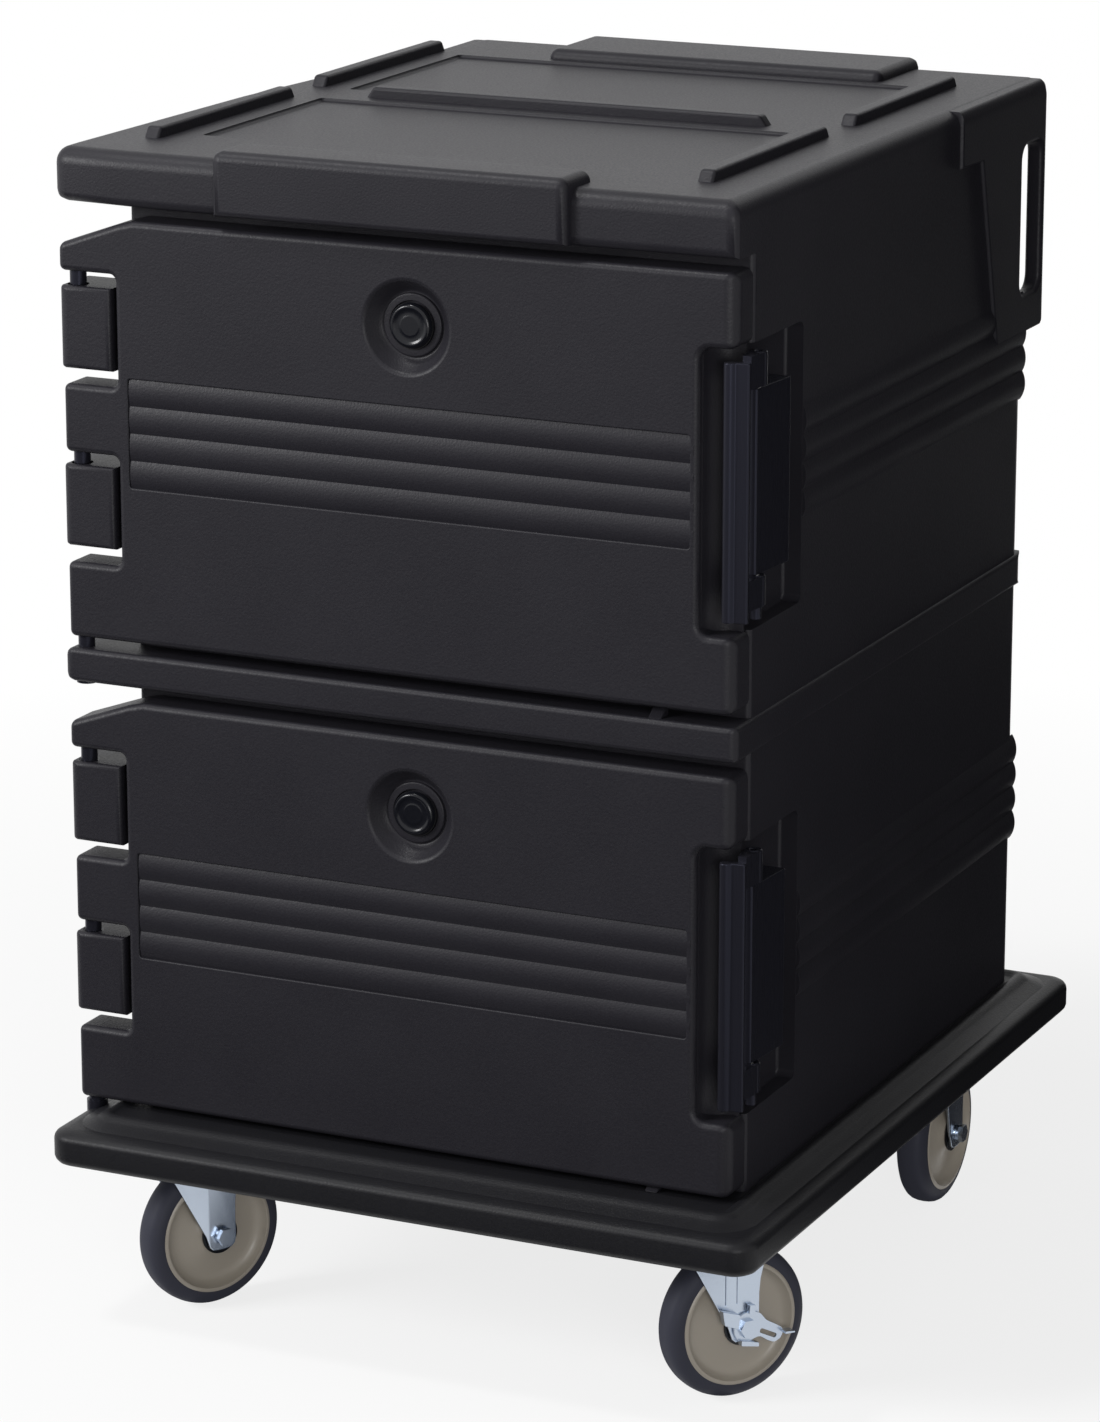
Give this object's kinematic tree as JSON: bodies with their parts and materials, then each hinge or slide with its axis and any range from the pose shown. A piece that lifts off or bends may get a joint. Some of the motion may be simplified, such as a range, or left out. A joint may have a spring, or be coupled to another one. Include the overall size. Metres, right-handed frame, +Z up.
{
  "type": "insulated food cart",
  "caption": "Insulated food cart with stacked side-hinged compartments, lift-off doors with latches and vents, rear push handles and casters.",
  "frame": {"origin": "on the floor under the middle of the overall box", "axes": "+X to the right seen from the front, +Y to the rear, +Z up"},
  "size_m": [0.792, 0.926, 1.227],
  "materials": {
    "black_polyethylene": "rotomoulded, finely pebbled satin black",
    "insulating_foam": "closed-cell polyurethane foam",
    "black_nylon": "moulded nylon, low sheen",
    "gloss_black_plastic": "moulded, glossy",
    "seal_rubber": "matt",
    "stainless_steel": "plain",
    "zinc_plated_steel": "zinc plated",
    "brass": "plain",
    "tyre_rubber": "charcoal grey, smooth",
    "grey_polypropylene": "warm grey, satin",
    "bearing_plastic": "natural acetal",
    "thread_guard_plastic": "satin black"
  },
  "bodies": {
    "cabinet": {"cabinet_shell": "black_polyethylene", "cabinet_foam": "insulating_foam", "cabinet_top": "black_polyethylene", "push_handles": "black_polyethylene", "middle_band": "black_polyethylene", "cabinet_knuckles": "black_polyethylene", "pan_rails": "black_polyethylene", "base_tray": "black_polyethylene", "base_foam": "insulating_foam", "hinge_bushings": "black_nylon", "caster_bolts": "zinc_plated_steel", "caster_inserts": "brass", "lower_latch_leaf": "black_nylon", "lower_latch_fixings": "stainless_steel", "upper_latch_leaf": "black_nylon", "upper_latch_fixings": "stainless_steel", "front_left_swivel_plate": "zinc_plated_steel", "front_left_kingpin_race": "zinc_plated_steel", "front_right_swivel_plate": "zinc_plated_steel", "front_right_kingpin_race": "zinc_plated_steel", "rear_left_rigid_frame": "zinc_plated_steel", "rear_left_axle_bolt": "zinc_plated_steel", "rear_left_thread_guards": "thread_guard_plastic", "rear_right_rigid_frame": "zinc_plated_steel", "rear_right_axle_bolt": "zinc_plated_steel", "rear_right_thread_guards": "thread_guard_plastic"},
    "lower_door": {"lower_door_shell": "black_polyethylene", "lower_door_foam": "insulating_foam", "lower_door_seals": "seal_rubber", "lower_hinge_pins": "black_nylon", "lower_vent_tube": "black_nylon"},
    "lower_latch": {"lower_latch_handle": "black_nylon"},
    "lower_vent": {"lower_vent_cap": "gloss_black_plastic"},
    "upper_door": {"upper_door_shell": "black_polyethylene", "upper_door_foam": "insulating_foam", "upper_door_seals": "seal_rubber", "upper_hinge_pins": "black_nylon", "upper_vent_tube": "black_nylon"},
    "upper_latch": {"upper_latch_handle": "black_nylon"},
    "upper_vent": {"upper_vent_cap": "gloss_black_plastic"},
    "front_left_wheel": {"front_left_tyre": "tyre_rubber", "front_left_wheel_core": "grey_polypropylene", "front_left_axle_sleeve": "bearing_plastic"},
    "front_left_swivel": {"front_left_swivel_fork": "zinc_plated_steel", "front_left_axle_bolt": "zinc_plated_steel", "front_left_thread_guards": "thread_guard_plastic"},
    "front_right_wheel": {"front_right_tyre": "tyre_rubber", "front_right_wheel_core": "grey_polypropylene", "front_right_axle_sleeve": "bearing_plastic"},
    "front_right_swivel": {"front_right_swivel_fork": "zinc_plated_steel", "front_right_axle_bolt": "zinc_plated_steel", "front_right_thread_guards": "thread_guard_plastic"},
    "front_right_brake": {"front_right_brake_lever": "zinc_plated_steel"},
    "rear_left_wheel": {"rear_left_tyre": "tyre_rubber", "rear_left_wheel_core": "grey_polypropylene", "rear_left_axle_sleeve": "bearing_plastic"},
    "rear_right_wheel": {"rear_right_tyre": "tyre_rubber", "rear_right_wheel_core": "grey_polypropylene", "rear_right_axle_sleeve": "bearing_plastic"}
  },
  "joints": [
    {"name": "lower_door_hinge", "type": "hinge", "parent": "cabinet", "child": "lower_door", "pos_m": [-0.377, -0.369, 0.441], "axis": [0, 0, -1], "range_deg": [0, 270]},
    {"name": "lower_latch_pivot", "type": "hinge", "parent": "cabinet", "child": "lower_latch", "pos_m": [0.349, -0.35, 0.442], "axis": [0, 0, 1], "range_deg": [0, 95]},
    {"name": "lower_vent_turn", "type": "hinge", "parent": "lower_door", "child": "lower_vent", "pos_m": [-0.005, -0.386, 0.575], "axis": [0, -1, 0], "range_deg": [0, 90]},
    {"name": "upper_door_hinge", "type": "hinge", "parent": "cabinet", "child": "upper_door", "pos_m": [-0.377, -0.369, 0.933], "axis": [0, 0, -1], "range_deg": [0, 270]},
    {"name": "upper_latch_pivot", "type": "hinge", "parent": "cabinet", "child": "upper_latch", "pos_m": [0.349, -0.35, 0.934], "axis": [0, 0, 1], "range_deg": [0, 95]},
    {"name": "upper_vent_turn", "type": "hinge", "parent": "upper_door", "child": "upper_vent", "pos_m": [-0.005, -0.386, 1.067], "axis": [0, -1, 0], "range_deg": [0, 90]},
    {"name": "front_left_swivel_turn", "type": "hinge", "parent": "cabinet", "child": "front_left_swivel", "pos_m": [-0.282, -0.35, 0.164], "axis": [0, 0, 1], "continuous": true},
    {"name": "front_left_wheel_spin", "type": "hinge", "parent": "front_left_swivel", "child": "front_left_wheel", "pos_m": [-0.27036, -0.32901, 0.08], "axis": [0.8746, -0.4848, 0], "continuous": true},
    {"name": "front_right_swivel_turn", "type": "hinge", "parent": "cabinet", "child": "front_right_swivel", "pos_m": [0.308, -0.35, 0.164], "axis": [0, 0, 1], "continuous": true},
    {"name": "front_right_wheel_spin", "type": "hinge", "parent": "front_right_swivel", "child": "front_right_wheel", "pos_m": [0.32177, -0.33034, 0.08], "axis": [0.8192, -0.5736, 0], "continuous": true},
    {"name": "front_right_brake_press", "type": "hinge", "parent": "front_right_swivel", "child": "front_right_brake", "pos_m": [0.32177, -0.33034, 0.08], "axis": [0.8192, -0.5736, 0], "range_deg": [-35, 0]},
    {"name": "rear_left_wheel_spin", "type": "hinge", "parent": "cabinet", "child": "rear_left_wheel", "pos_m": [-0.296, 0.274, 0.08], "axis": [1, 0, 0], "continuous": true},
    {"name": "rear_right_wheel_spin", "type": "hinge", "parent": "cabinet", "child": "rear_right_wheel", "pos_m": [0.306, 0.274, 0.08], "axis": [1, 0, 0], "continuous": true}
  ]
}
